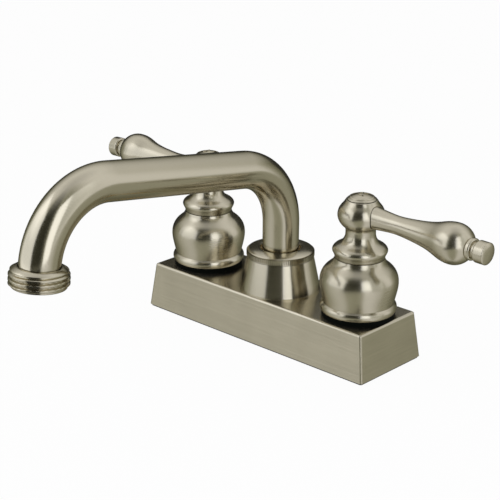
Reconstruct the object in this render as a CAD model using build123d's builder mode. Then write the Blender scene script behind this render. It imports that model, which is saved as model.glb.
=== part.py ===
from build123d import *
import os
from math import cos, radians, sin, tan

# Utility sink faucet on 4 inch centres, in millimetres: a tapered base, two quarter-turn
# lever handles and a bent swivel tube spout with a hose thread.
# X runs along the base with the hot side at -X, -Y faces the user and +Z is up.
# The origin lies on the sink ledge, under the spout.

os.makedirs("parts", exist_ok=True)

# Driving sizes
handle_span = 101.6  # from the hot valve to the cold valve
shank_r = 10.45  # 1/2 inch straight pipe thread
tube_r = 9.2  # spout tube
hose_r = 13.3  # 3/4 inch garden hose thread
ledge_t = 10.0  # sink ledge between the base and the washers

# Clearances
overrun = 1.0  # how far a cutting shape passes the face that it opens
seat_gap = 0.05  # radial, between pieces that stay together
run_gap = 0.08  # radial, of a stem or a swivel in its bore
pass_gap = 0.3  # between pieces that pass each other
hole_gap = 0.4  # round a casting or a shank in a plate

# Supply shanks, washers and locknuts
shank_wall = 3.65
shank_bore_r = shank_r - shank_wall
shank_drop = 45.0
shank_plain = 3.0  # unthreaded length under the ledge plane
shank_pitch = 1.814
shank_thread_depth = 0.9
locknut_wall = 5.05
locknut_h = 7.0
locknut_bevel = 1.2
locknut_flat_r = shank_r + locknut_wall
locknut_corner_r = locknut_flat_r / cos(radians(30))
washer_lip = 1.0  # of the washer round the locknut
washer_t = 1.6

# Waterway casting
gasket_t = 0.8
socket_depth = 5.7  # how far a shank enters the casting
socket_wall = 2.1
socket_r = shank_r + seat_gap
valve_r = socket_r + socket_wall
valve_step = 1.2
valve_neck_r = valve_r - valve_step
valve_neck_h = 10.3
valve_wall = 1.8
valve_bore_r = valve_neck_r - valve_wall
valve_rise = 13.8  # above the base
valve_floor_t = 2.0
seat_z = gasket_t + socket_depth + valve_floor_t
seat_lip = 2.4
seat_port_r = valve_bore_r - seat_lip
cross_z = 15.0
cross_bore_r = 4.3
cross_wall = 2.1

# Base cover and its gasket
cover_h = 23.4
cover_end = 18.6  # from a valve's axis to the end of the top
cover_top_w = 42.0
cover_draft_l = 3.05
cover_draft_w = 2.05
cover_wall = 2.0
cover_edge_r = 1.2
gasket_inset = 0.6
base_z = gasket_t + cover_h
valve_top = base_z + valve_rise
cover_top_l = handle_span + 2 * cover_end
cover_foot_l = cover_top_l + 2 * cover_draft_l
cover_foot_w = cover_top_w + 2 * cover_draft_w

# Cartridges
seal_t = 1.2
flange_t = 2.2
chamber_wall = 1.15
chamber_h = 11.0
cartridge_neck_wall = 2.9
cartridge_drop = 2.4  # under the bonnet nut's top
window_w = 7.0
window_h = 3.0
disc_t = 2.9
disc_gap = 0.02  # between the lapped faces of the two discs
disc_port_r = 2.2
disc_rim = 1.3
stem_r = 4.0
stem_rise = 9.0  # into the hub
key_w = 4.6
key_depth = 1.0
stem_collar_t = 1.9
spline_h = 6.4
spline_teeth = 16
spline_depth = 0.45
tapped_depth = 10.0
body_ring_section_r = 0.9
body_ring_rise = 6.0  # above the base
stem_ring_section_r = 0.6
stem_ring_rise = 12.0  # above the base

# Bonnet nuts
bonnet_wall = 1.8
bonnet_skirt = 7.0  # down over the valve's neck
bonnet_web = 2.6
bonnet_neck_wall = 3.1
bonnet_drop = 0.8  # under the bell's top

# Bells and the rings that they stand on, profiles as shares of radius and height
bell_ring_h = 2.6
bell_ring_share = 0.94
bell_room = 2.3  # between the bonnet nut's corners and the bell's widest wall
bell_wall = 1.4
bell_h = 26.6
bell_rim_shares = ((0.953, 0.0), (0.984, 0.068), (0.955, 0.128))
bell_body_shares = (
    (0.911, 0.158),
    (0.958, 0.312),
    (1.006, 0.56),
    (0.973, 0.684),
    (0.84, 0.823),
    (0.737, 0.885),
    (0.661, 0.955),
)
bell_collar_share = 0.638
bell_z = base_z + bell_ring_h
bell_top = bell_z + bell_h

# Handle hubs: a bead, a neck and a flattened ball, profiles as shares of radius and height
bead_r = 13.38
ball_r = 11.35
ball_h = 21.25  # of the ball's widest place above the hub's foot
crown_h = 28.75
neck_shares = (
    (0.897, 0.0),
    (0.944, 0.08),
    (1.0, 0.174),
    (0.932, 0.252),
    (0.762, 0.317),
    (0.647, 0.381),
    (0.585, 0.445),
    (0.55, 0.52),
    (0.544, 0.581),
    (0.552, 0.659),
    (0.593, 0.706),
)
ball_shares = (
    (0.794, 0.5565),
    (0.87, 0.591),
    (0.966, 0.661),
    (1.0, 0.739),
    (0.966, 0.817),
    (0.9, 0.87),
    (0.821, 0.911),
    (0.742, 0.95),
    (0.66, 1.0),
)
bead_flare = (0.4, 1)  # direction of the profile at the bead's foot
crown_slope = (-0.8, 1)  # and at the crown
crown_edge_r = 0.5
hub_z = bell_top + pass_gap
crown_z = hub_z + crown_h
skirt_wall = 2.2
skirt_hollow_h = 2.6
screw_floor_h = 14.2

# Handle screws
screw_r = 1.95
screw_l = 14.0
screw_head_r = 3.9
screw_head_h = 3.0
screw_well_gap = 0.8
screw_hole_gap = 0.35
screw_drive_w = 3.0
screw_drive_depth = 1.6

# Index buttons
button_r = 7.15
button_sink = 1.4
button_side_h = 0.4
button_rise = 2.65
button_edge_r = 0.6
button_stem_h = 2.4

# Levers, measured out from the handle's axis, with the shaft's profile in shares
lever_h = 21.5  # axis above the hub's foot
lever_droop = 1.5  # degrees
lever_sink = 3.15  # of the lever's root in the ball
lever_pocket_gap = 0.25
lever_bulb = 53.8
lever_bulb_r = 9.8
lever_shares = (
    (0.0, 0.571),
    (0.14, 0.497),
    (0.3, 0.455),
    (0.425, 0.491),
    (0.55, 0.556),
    (0.67, 0.643),
    (0.785, 0.776),
    (1.0, 1.0),
)
lever_taper = (1, -0.15)  # direction of the profile at the lever's root
lever_heel = 8.5  # from the bulb's widest place to the finial
lever_heel_r = 4.6
finial_r = 5.25
finial_groove_r = 3.9
finial_collar = 2.4
finial_groove = 1.6
finial_button = 5.2
finial_dome = 1.2
finial_edge_r = 0.9
finial_heel_edge_r = 0.4
stud_r = 3.0
stud_l = 3.1

# Spout foot: the ferrule runs in the tower, and the nut holds its flange down
ferrule_wall = 1.85
ferrule_flange_t = 1.2
ferrule_l = 18.3
tower_wall = 2.0
tower_port_r = 6.0
tower_rise = 1.0  # above the sleeve
tower_bore_depth = 19.2
swivel_ring_section_r = 0.7
swivel_ring_depth = 6.0  # under the flange
swivel_ring_step = 7.0
friction_t = 0.5
ferrule_r = tube_r + seat_gap + ferrule_wall
tower_bore_r = ferrule_r + run_gap
tower_r = tower_bore_r + tower_wall

# Spout sleeve and knurled nut
nut_wall = 1.75
nut_flange_t = 1.7
nut_mouth_gap = 1.1
nut_skirt_l = 6.5
nut_lip = 0.5  # step under the knurled band
nut_band = 0.35  # how far the band stands out past the sleeve
nut_band_h = 2.5
nut_crown_in = 0.7
nut_crown_edge_r = 0.9
nut_shoulder_r = 1.4
nut_skirt_r = tower_r + seat_gap + nut_wall
nut_hole_r = tube_r + nut_mouth_gap
sleeve_gap = 0.15
sleeve_wall = 1.7
sleeve_h = 17.0
sleeve_taper = 3.4
sleeve_lip = 0.4
sleeve_lip_h = 0.8
sleeve_hole_r = nut_skirt_r + sleeve_gap
sleeve_top_r = sleeve_hole_r + sleeve_wall
sleeve_foot_r = sleeve_top_r + sleeve_taper
nut_r = sleeve_top_r + nut_band

# Spout tube, whose line turns two corners
tube_wall = 1.1
bend_r = 33.8
run_rise = 63.45  # of the swivel axis to the run's line, above the base
run_slope = 9.06  # degrees
reach = 149.7  # from the swivel axis to the outer corner
drop_lean = 5.5  # degrees outward

# Hose end, measured down the drop from the outer corner
hose_top = 34.4
hose_face_r = 10.6
hose_land_r = 12.6
hose_bevel_h = 1.3
hose_land_h = 0.6
hose_pitch = 2.209
hose_thread_depth = 1.1
hose_thread_count = 3
hose_tip = 0.65  # plain length under the last ridge
hose_seat = 5.2  # depth of the tube in the collar
hose_mouth_gap = 0.25
hose_mouth_h = 2.2
hose_lip = 0.9

sides = (("hot", -1), ("cold", 1))


def valve_x(side):
    """Where the valve of a side stands."""
    return side * handle_span / 2


def upright(x):
    """The X-Z plane at x, whose profiles are turned about the upright axis there."""
    return Plane(origin=(x, 0, 0), x_dir=(1, 0, 0), z_dir=(0, -1, 0))


def upright_axis(x):
    """The upright axis of a valve, or of the spout, at x."""
    return Axis((x, 0, 0), (0, 0, 1))


def write(piece, label):
    """Labels a finished piece and writes it."""
    piece.part.label = label
    export_step(piece.part, f"parts/{label}.step")


def shared(shares, radius, foot, height):
    """Points of a profile from its shares of a radius and of a height over its foot."""
    return [(r * radius, foot + z * height) for r, z in shares]


def thread_outline(root, crest, pitch, count):
    """Points of count ridges, as radius and distance along the thread."""
    points = []
    for turn in range(count):
        points.append((root, turn * pitch))
        points.append((crest, (turn + 0.5) * pitch))
    points.append((root, count * pitch))
    return points


# Base gasket
with BuildPart() as base_gasket:
    with BuildSketch():
        Rectangle(cover_foot_l - 2 * gasket_inset, cover_foot_w - 2 * gasket_inset)
        fillet(vertices(), cover_edge_r)
        with Locations((valve_x(-1), 0), (valve_x(1), 0)):
            Circle(shank_r + hole_gap, mode=Mode.SUBTRACT)
    extrude(amount=gasket_t)
write(base_gasket, "base_gasket")

# Base cover
with BuildPart() as base_cover:
    with BuildSketch(Plane.XY.offset(gasket_t)):
        Rectangle(cover_foot_l, cover_foot_w)
    with BuildSketch(Plane.XY.offset(base_z)):
        Rectangle(cover_top_l, cover_top_w)
    loft(ruled=True)
    corners = [edge for edge in edges() if abs(edge.tangent_at(0.5).Z) > 0.5]
    fillet(corners + edges().group_by(Axis.Z)[-1], cover_edge_r)
    with BuildSketch(Plane.XY.offset(gasket_t)):
        Rectangle(cover_foot_l - 2 * cover_wall, cover_foot_w - 2 * cover_wall)
    with BuildSketch(Plane.XY.offset(base_z - cover_wall)):
        Rectangle(cover_top_l - 2 * cover_wall, cover_top_w - 2 * cover_wall)
    loft(ruled=True, mode=Mode.SUBTRACT)
    with BuildSketch(Plane.XY.offset(base_z + overrun)):
        with Locations((valve_x(-1), 0), (valve_x(1), 0)):
            Circle(valve_r + hole_gap)
        Circle(tower_r + hole_gap)
    extrude(amount=-(cover_wall + 2 * overrun), mode=Mode.SUBTRACT)
write(base_cover, "base_cover")

# Waterway casting: two valve bodies and the spout tower on one cross tube
tower_top = base_z + sleeve_h + tower_rise
with BuildPart() as waterway_body:
    with BuildSketch(Plane.XY.offset(gasket_t)):
        with Locations((valve_x(-1), 0), (valve_x(1), 0)):
            Circle(valve_r)
    extrude(amount=valve_top - valve_neck_h - gasket_t)
    with BuildSketch(Plane.XY.offset(valve_top - valve_neck_h)):
        with Locations((valve_x(-1), 0), (valve_x(1), 0)):
            Circle(valve_neck_r)
    extrude(amount=valve_neck_h)
    with BuildSketch(Plane.XY.offset(gasket_t)):
        Circle(tower_r)
    extrude(amount=tower_top - gasket_t)
    with BuildSketch(Plane.YZ.offset(valve_x(-1))):
        with Locations((0, cross_z)):
            Circle(cross_bore_r + cross_wall)
    extrude(amount=handle_span)
    with BuildSketch(Plane.YZ.offset(valve_x(-1))):
        with Locations((0, cross_z)):
            Circle(cross_bore_r)
    extrude(amount=handle_span, mode=Mode.SUBTRACT)
    for _, side in sides:
        with BuildSketch(upright(valve_x(side))):
            with BuildLine():
                Polyline(
                    (0, gasket_t - overrun),
                    (socket_r, gasket_t - overrun),
                    (socket_r, gasket_t + socket_depth),
                    (seat_port_r, gasket_t + socket_depth),
                    (seat_port_r, seat_z),
                    (valve_bore_r, seat_z),
                    (valve_bore_r, valve_top + overrun),
                    (0, valve_top + overrun),
                    close=True,
                )
            make_face()
        revolve(axis=upright_axis(valve_x(side)), mode=Mode.SUBTRACT)
    with BuildSketch(upright(0)):
        with BuildLine():
            Polyline(
                (0, cross_z),
                (tower_port_r, cross_z),
                (tower_port_r, tower_top - tower_bore_depth),
                (tower_bore_r, tower_top - tower_bore_depth),
                (tower_bore_r, tower_top + overrun),
                (0, tower_top + overrun),
                close=True,
            )
        make_face()
    revolve(axis=upright_axis(0), mode=Mode.SUBTRACT)
write(waterway_body, "waterway_body")


# Supply shank, its washer and its locknut
def build_shank(x, label):
    top = gasket_t + socket_depth
    root_r = shank_r - shank_thread_depth
    threads = int((shank_drop - shank_plain) / shank_pitch)
    ridges = thread_outline(root_r, shank_r, shank_pitch, threads)
    with BuildPart() as shank:
        with BuildSketch(upright(x)):
            with BuildLine():
                Polyline(
                    (shank_bore_r, top),
                    (shank_r, top),
                    (shank_r, -shank_plain),
                    *[(r, -shank_plain - down) for r, down in ridges],
                    (root_r, -shank_drop),
                    (shank_bore_r, -shank_drop),
                    close=True,
                )
            make_face()
        revolve(axis=upright_axis(x))
    write(shank, label)


def build_shank_washer(x, label):
    with BuildPart() as washer:
        with BuildSketch(Plane.XY.offset(-ledge_t)):
            with Locations((x, 0)):
                Circle(locknut_corner_r + washer_lip)
                Circle(shank_r + hole_gap, mode=Mode.SUBTRACT)
        extrude(amount=-washer_t)
    write(washer, label)


def build_shank_nut(x, label):
    top = -ledge_t - washer_t
    foot = top - locknut_h
    with BuildPart() as locknut:
        with BuildSketch(Plane.XY.offset(top)):
            with Locations((x, 0)):
                RegularPolygon(locknut_flat_r, 6, major_radius=False)
        extrude(amount=-locknut_h)
        with BuildSketch(upright(x)):
            with BuildLine():
                Polyline(
                    (0, top),
                    (locknut_corner_r, top),
                    (locknut_corner_r, foot + locknut_bevel),
                    (locknut_corner_r - 2 * locknut_bevel, foot),
                    (0, foot),
                    close=True,
                )
            make_face()
        revolve(axis=upright_axis(x), mode=Mode.INTERSECT)
        with BuildSketch(Plane.XY.offset(top)):
            with Locations((x, 0)):
                Circle(shank_r + seat_gap)
        extrude(amount=-locknut_h, mode=Mode.SUBTRACT)
    write(locknut, label)


# Cartridge: seat seal, body, two ceramic discs, stem and O-rings
cartridge_r = valve_bore_r - seat_gap
cartridge_z = seat_z + seal_t
cartridge_neck_r = stem_r + run_gap + cartridge_neck_wall
bonnet_shoulder = valve_top + flange_t
bonnet_top = bell_top - bonnet_drop
cartridge_top = bonnet_top - cartridge_drop
flange_r = valve_neck_r - seat_gap
chamber_r = cartridge_r - chamber_wall
chamber_top = cartridge_z + chamber_h
fixed_disc_z = cartridge_z + disc_gap
moving_disc_z = fixed_disc_z + disc_t + disc_gap
moving_disc_top = moving_disc_z + disc_t
moving_disc_r = chamber_r - pass_gap
disc_port_offset = moving_disc_r - disc_rim - disc_port_r
key_z = moving_disc_top - key_depth
stem_top = hub_z + stem_rise
body_ring_z = base_z + body_ring_rise
stem_ring_z = base_z + stem_ring_rise


def build_seat_seal(x, label):
    with BuildPart() as seal:
        with BuildSketch(Plane.XY.offset(seat_z)):
            with Locations((x, 0)):
                Circle(cartridge_r)
                Circle(seat_port_r, mode=Mode.SUBTRACT)
        extrude(amount=seal_t)
    write(seal, label)


def build_cartridge_body(x, label):
    ring_bed_r = cartridge_r - 2 * body_ring_section_r - seat_gap
    ring_half_h = body_ring_section_r + seat_gap
    with BuildPart() as cartridge:
        with BuildSketch(upright(x)):
            with BuildLine():
                Polyline(
                    (chamber_r, cartridge_z),
                    (cartridge_r, cartridge_z),
                    (cartridge_r, body_ring_z - ring_half_h),
                    (ring_bed_r, body_ring_z - ring_half_h),
                    (ring_bed_r, body_ring_z + ring_half_h),
                    (cartridge_r, body_ring_z + ring_half_h),
                    (cartridge_r, valve_top),
                    (flange_r, valve_top),
                    (flange_r, bonnet_shoulder),
                    (cartridge_neck_r, bonnet_shoulder),
                    (cartridge_neck_r, cartridge_top),
                    (stem_r + run_gap, cartridge_top),
                    (stem_r + run_gap, chamber_top),
                    (chamber_r, chamber_top),
                    close=True,
                )
            make_face()
        revolve(axis=upright_axis(x))
        with BuildSketch(Plane.YZ.offset(x - valve_bore_r)):
            with Locations((0, moving_disc_top + window_h / 2)):
                Rectangle(window_w, window_h)
        extrude(amount=2 * valve_bore_r, mode=Mode.SUBTRACT)
    write(cartridge, label)


def build_fixed_disc(x, label):
    with BuildPart() as disc:
        with BuildSketch(Plane.XY.offset(fixed_disc_z)):
            with Locations((x, 0)):
                Circle(chamber_r - seat_gap)
                with PolarLocations(disc_port_offset, 2, start_angle=90):
                    Circle(disc_port_r, mode=Mode.SUBTRACT)
        extrude(amount=disc_t)
    write(disc, label)


def build_moving_disc(x, label):
    with BuildPart() as disc:
        with BuildSketch(Plane.XY.offset(moving_disc_z)):
            with Locations((x, 0)):
                Circle(moving_disc_r)
                with PolarLocations(disc_port_offset, 2):
                    Circle(disc_port_r, mode=Mode.SUBTRACT)
        extrude(amount=disc_t)
        with BuildSketch(Plane.XY.offset(key_z)):
            with Locations((x, 0)):
                Rectangle(key_w + 2 * seat_gap, 2 * chamber_r)
        extrude(amount=key_depth + overrun, mode=Mode.SUBTRACT)
    write(disc, label)


def build_stem(x, label):
    ring_bed_r = stem_r - 2 * stem_ring_section_r - seat_gap
    ring_half_h = stem_ring_section_r + seat_gap
    collar_top = chamber_top - run_gap
    with BuildPart() as stem:
        with BuildSketch(Plane.XY.offset(key_z)):
            with Locations((x, 0)):
                Circle(moving_disc_r)
                Rectangle(key_w, 2 * chamber_r, mode=Mode.INTERSECT)
        extrude(amount=collar_top - stem_collar_t - key_z)
        with BuildSketch(upright(x)):
            with BuildLine():
                Polyline(
                    (0, collar_top - stem_collar_t),
                    (moving_disc_r, collar_top - stem_collar_t),
                    (moving_disc_r, collar_top),
                    (stem_r, collar_top),
                    (stem_r, stem_ring_z - ring_half_h),
                    (ring_bed_r, stem_ring_z - ring_half_h),
                    (ring_bed_r, stem_ring_z + ring_half_h),
                    (stem_r, stem_ring_z + ring_half_h),
                    (stem_r, stem_top),
                    (screw_r + seat_gap, stem_top),
                    (screw_r + seat_gap, stem_top - tapped_depth),
                    (0, stem_top - tapped_depth),
                    close=True,
                )
            make_face()
        revolve(axis=upright_axis(x))
        with BuildSketch(Plane.XY.offset(stem_top)):
            with Locations((x, 0)):
                with PolarLocations(stem_r, spline_teeth):
                    Rectangle(2 * spline_depth, spline_depth + 2 * seat_gap)
        extrude(amount=-spline_h, mode=Mode.SUBTRACT)
    write(stem, label)


def build_ring(x, z, outer_r, section_r, label):
    with BuildPart() as ring:
        with BuildSketch(upright(x)):
            with Locations((outer_r - section_r, z)):
                Circle(section_r)
        revolve(axis=upright_axis(x))
    write(ring, label)


# Bonnet nut, a hexagon with a threaded neck that carries the bell
bonnet_flat_r = valve_neck_r + seat_gap + bonnet_wall
bonnet_neck_r = cartridge_neck_r + seat_gap + bonnet_neck_wall


def build_bonnet_nut(x, label):
    foot = valve_top - bonnet_skirt
    with BuildPart() as bonnet:
        with BuildSketch(Plane.XY.offset(foot)):
            with Locations((x, 0)):
                RegularPolygon(bonnet_flat_r, 6, major_radius=False)
        extrude(amount=bonnet_shoulder + bonnet_web - foot)
        with BuildSketch(Plane.XY.offset(bonnet_shoulder)):
            with Locations((x, 0)):
                Circle(bonnet_neck_r)
        extrude(amount=bonnet_top - bonnet_shoulder)
        with BuildSketch(upright(x)):
            with BuildLine():
                Polyline(
                    (0, foot - overrun),
                    (valve_neck_r + seat_gap, foot - overrun),
                    (valve_neck_r + seat_gap, bonnet_shoulder),
                    (cartridge_neck_r + seat_gap, bonnet_shoulder),
                    (cartridge_neck_r + seat_gap, bonnet_top + overrun),
                    (0, bonnet_top + overrun),
                    close=True,
                )
            make_face()
        revolve(axis=upright_axis(x), mode=Mode.SUBTRACT)
    write(bonnet, label)


# Bell and the black ring under it
bell_r = bonnet_flat_r / cos(radians(30)) + bell_room + bell_wall


def build_bell_ring(x, label):
    with BuildPart() as bell_ring:
        with BuildSketch(Plane.XY.offset(base_z)):
            with Locations((x, 0)):
                Circle(bell_ring_share * bell_r)
                Circle(valve_r + hole_gap, mode=Mode.SUBTRACT)
        extrude(amount=bell_ring_h)
    write(bell_ring, label)


def build_bell(x, label):
    mouth_r = bonnet_neck_r + seat_gap
    rim_points = shared(bell_rim_shares, bell_r, bell_z, bell_h)
    body_points = shared(bell_body_shares, bell_r, bell_z, bell_h)
    waist, low, belly, _, shoulder, brow, crease = body_points
    inside = [(r - bell_wall, z) for r, z in (waist, low, belly)]
    inside += [(r - bell_wall, z - bell_wall) for r, z in (shoulder, brow, crease)]
    with BuildPart() as bell:
        with BuildSketch(upright(x)):
            with BuildLine():
                ThreePointArc(*rim_points)
                Line(rim_points[-1], waist)
                Spline(*body_points)
                Polyline(
                    crease,
                    (bell_collar_share * bell_r, bell_top),
                    (mouth_r, bell_top),
                    (mouth_r, inside[-1][1]),
                    inside[-1],
                )
                Spline(*inside[::-1])
                Polyline(inside[0], (inside[0][0], bell_z), rim_points[0])
            make_face()
        revolve(axis=upright_axis(x))
    write(bell, label)


# Handle hub, turned, then bored for the stem, the screw, the button and the lever
screw_well_r = screw_head_r + screw_well_gap
lever_seat = ball_r - lever_sink
lever_root_r = lever_shares[0][1] * lever_bulb_r


def lever_plane(x, side):
    """Plane of a lever's profile: its first direction runs out along the lever."""
    droop = radians(lever_droop)
    return Plane(
        origin=(x, 0, hub_z + lever_h),
        x_dir=(side * cos(droop), 0, -sin(droop)),
        z_dir=(0, -side, 0),
    )


def build_hub(x, side, label):
    neck = shared(neck_shares, bead_r, hub_z, ball_h)
    ball = shared(ball_shares, ball_r, hub_z, crown_h)
    foot_r = neck[0][0]
    plane = lever_plane(x, side)
    along = Plane(origin=plane.origin, x_dir=(0, 1, 0), z_dir=plane.x_dir)
    with BuildPart() as hub:
        with BuildSketch(upright(x)):
            with BuildLine():
                Line((0, hub_z), neck[0])
                Spline(*neck, *ball, tangents=(bead_flare, crown_slope))
                Polyline(ball[-1], (0, crown_z), (0, hub_z))
            make_face()
            fillet(vertices().sort_by_distance(ball[-1])[0], crown_edge_r)
        revolve(axis=upright_axis(x))
        with BuildSketch(upright(x)):
            with BuildLine():
                Polyline(
                    (0, hub_z - overrun),
                    (foot_r - skirt_wall, hub_z - overrun),
                    (foot_r - skirt_wall, hub_z + skirt_hollow_h),
                    (stem_r + seat_gap, hub_z + skirt_hollow_h),
                    (stem_r + seat_gap, stem_top + pass_gap),
                    (screw_r + screw_hole_gap, stem_top + pass_gap),
                    (screw_r + screw_hole_gap, hub_z + screw_floor_h),
                    (screw_well_r, hub_z + screw_floor_h),
                    (screw_well_r, crown_z - button_sink),
                    (button_r + 2 * seat_gap, crown_z - button_sink),
                    (button_r + 2 * seat_gap, crown_z + overrun),
                    (0, crown_z + overrun),
                    close=True,
                )
            make_face()
        revolve(axis=upright_axis(x), mode=Mode.SUBTRACT)
        with BuildSketch(Plane.XY.offset(stem_top)):
            with Locations((x, 0)):
                with PolarLocations(stem_r, spline_teeth):
                    Rectangle(spline_depth, spline_depth)
        extrude(amount=-(spline_h - seat_gap))
        with BuildSketch(along.offset(lever_seat - stud_l - overrun)):
            Circle(stud_r + seat_gap)
        extrude(amount=stud_l + 2 * overrun, mode=Mode.SUBTRACT)
        with BuildSketch(along.offset(lever_seat)):
            Circle(lever_root_r + lever_pocket_gap)
        extrude(amount=ball_r, mode=Mode.SUBTRACT)
    write(hub, label)


# Lever, turned about its own axis, with a stud at its root and a finial at its end
def build_lever(x, side, label):
    plane = lever_plane(x, side)
    shaft_l = lever_bulb - lever_seat
    shaft = [(lever_seat + along * shaft_l, r * lever_bulb_r) for along, r in lever_shares]
    heel = lever_bulb + lever_heel
    collar_end = heel + finial_collar
    groove_end = collar_end + finial_groove
    button_end = groove_end + finial_button
    with BuildPart() as lever:
        with BuildSketch(plane):
            with BuildLine():
                Polyline(
                    (lever_seat - stud_l, 0),
                    (lever_seat - stud_l, stud_r),
                    (lever_seat, stud_r),
                    shaft[0],
                )
                Spline(*shaft, tangents=(lever_taper, (1, 0)))
                TangentArc(shaft[-1], (heel, lever_heel_r), tangent=(1, 0))
                FilletPolyline(
                    (heel, lever_heel_r),
                    (heel, finial_r),
                    (collar_end, finial_r),
                    (collar_end, finial_groove_r),
                    radius=[finial_heel_edge_r, finial_edge_r],
                )
                Line((collar_end, finial_groove_r), (groove_end, finial_groove_r))
                FilletPolyline(
                    (groove_end, finial_groove_r),
                    (groove_end, finial_r),
                    (button_end, finial_r),
                    radius=finial_edge_r,
                )
                EllipticalCenterArc((button_end, 0), finial_dome, finial_r, arc_size=90)
                Line((button_end + finial_dome, 0), (lever_seat - stud_l, 0))
            make_face()
        revolve(axis=Axis(plane.origin, plane.x_dir))
    write(lever, label)


# Handle screw, with a square drive, and the index button over it
def build_handle_screw(x, label):
    head_z = hub_z + screw_floor_h
    with BuildPart() as screw:
        with BuildSketch(Plane.XY.offset(head_z)):
            with Locations((x, 0)):
                Circle(screw_head_r)
        extrude(amount=screw_head_h)
        with BuildSketch(Plane.XY.offset(head_z)):
            with Locations((x, 0)):
                Circle(screw_r)
        extrude(amount=-screw_l)
        with BuildSketch(Plane.XY.offset(head_z + screw_head_h)):
            with Locations((x, 0)):
                Rectangle(screw_drive_w, screw_drive_w)
        extrude(amount=-screw_drive_depth, mode=Mode.SUBTRACT)
    write(screw, label)


def build_index_button(x, label):
    foot = crown_z - button_sink
    edge_z = crown_z + button_side_h
    top = crown_z + button_rise
    with BuildPart() as button:
        with BuildSketch(upright(x)):
            with BuildLine():
                Polyline(
                    (0, foot - button_stem_h),
                    (screw_well_r - seat_gap, foot - button_stem_h),
                    (screw_well_r - seat_gap, foot),
                    (button_r, foot),
                    (button_r, edge_z),
                )
                TangentArc((0, top), (button_r, edge_z), tangent=(1, 0))
                Line((0, top), (0, foot - button_stem_h))
            make_face()
            fillet(vertices().sort_by_distance((button_r, edge_z))[0], button_edge_r)
        revolve(axis=upright_axis(x))
    write(button, label)


for name, side in sides:
    x = valve_x(side)
    build_shank(x, f"{name}_shank")
    build_shank_washer(x, f"{name}_shank_washer")
    build_shank_nut(x, f"{name}_shank_nut")
    build_seat_seal(x, f"{name}_seat_seal")
    build_cartridge_body(x, f"{name}_cartridge_body")
    build_fixed_disc(x, f"{name}_fixed_disc")
    build_moving_disc(x, f"{name}_moving_disc")
    build_stem(x, f"{name}_stem")
    build_ring(x, body_ring_z, cartridge_r, body_ring_section_r, f"{name}_body_oring")
    build_ring(x, stem_ring_z, stem_r, stem_ring_section_r, f"{name}_stem_oring")
    build_bonnet_nut(x, f"{name}_bonnet_nut")
    build_bell_ring(x, f"{name}_bell_ring")
    build_bell(x, f"{name}_bell")
    build_hub(x, side, f"{name}_hub")
    build_lever(x, side, f"{name}_lever")
    build_handle_screw(x, f"{name}_handle_screw")
    build_index_button(x, f"{name}_index_button")

# Spout sleeve, a cone with a small lip at its foot
with BuildPart() as spout_sleeve:
    with BuildSketch(upright(0)):
        with BuildLine():
            Polyline(
                (sleeve_foot_r + sleeve_lip, base_z),
                (sleeve_foot_r + sleeve_lip, base_z + sleeve_lip_h),
                (sleeve_foot_r, base_z + sleeve_lip_h),
                (sleeve_top_r, base_z + sleeve_h),
                (sleeve_hole_r, base_z + sleeve_h),
                (sleeve_foot_r - sleeve_wall, base_z),
                close=True,
            )
        make_face()
    revolve(axis=upright_axis(0))
write(spout_sleeve, "spout_sleeve")

# Spout foot: the ferrule with its O-rings, the friction washer and the nut
flange_foot = tower_top + 2 * seat_gap
flange_top = flange_foot + ferrule_flange_t
ferrule_foot = flange_foot - ferrule_l
friction_z = flange_top + seat_gap
nut_ceiling = friction_z + friction_t + seat_gap
nut_top = nut_ceiling + nut_flange_t
nut_foot = base_z + sleeve_h + 2 * seat_gap
swivel_ring_heights = (
    flange_foot - swivel_ring_depth,
    flange_foot - swivel_ring_depth - swivel_ring_step,
)
swivel_bed_r = ferrule_r - 2 * swivel_ring_section_r - seat_gap
swivel_half_h = swivel_ring_section_r + seat_gap

with BuildPart() as spout_ferrule:
    with BuildSketch(upright(0)):
        with BuildLine():
            Polyline(
                (tube_r + seat_gap, ferrule_foot),
                (ferrule_r, ferrule_foot),
                (ferrule_r, flange_foot),
                (tower_r - pass_gap, flange_foot),
                (tower_r - pass_gap, flange_top),
                (tube_r + seat_gap, flange_top),
                close=True,
            )
        make_face()
        for ring_z in swivel_ring_heights:
            with Locations((ferrule_r, ring_z)):
                Rectangle(
                    2 * (ferrule_r - swivel_bed_r), 2 * swivel_half_h, mode=Mode.SUBTRACT
                )
    revolve(axis=upright_axis(0))
write(spout_ferrule, "spout_ferrule")

with BuildPart() as spout_orings:
    with BuildSketch(upright(0)):
        for ring_z in swivel_ring_heights:
            with Locations((ferrule_r - swivel_ring_section_r, ring_z)):
                Circle(swivel_ring_section_r)
    revolve(axis=upright_axis(0))
write(spout_orings, "spout_orings")

with BuildPart() as spout_washer:
    with BuildSketch(Plane.XY.offset(friction_z)):
        Circle(tower_r - pass_gap)
        Circle(nut_hole_r, mode=Mode.SUBTRACT)
    extrude(amount=friction_t)
write(spout_washer, "spout_washer")

with BuildPart() as spout_nut:
    with BuildSketch(upright(0)):
        with BuildLine():
            Polyline(
                (nut_hole_r, nut_top),
                (nut_hole_r, nut_ceiling),
                (tower_r + seat_gap, nut_ceiling),
                (tower_r + seat_gap, nut_foot - nut_skirt_l),
                (nut_skirt_r, nut_foot - nut_skirt_l),
                (nut_skirt_r, nut_foot),
                (nut_r - nut_lip, nut_foot),
                (nut_r, nut_foot + nut_lip),
            )
            FilletPolyline(
                (nut_r, nut_foot + nut_lip),
                (nut_r, nut_foot + nut_lip + nut_band_h),
                (nut_r - nut_crown_in, nut_top),
                (nut_hole_r, nut_top),
                radius=[nut_shoulder_r, nut_crown_edge_r],
            )
        make_face()
    revolve(axis=upright_axis(0))
write(spout_nut, "spout_nut")

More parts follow.
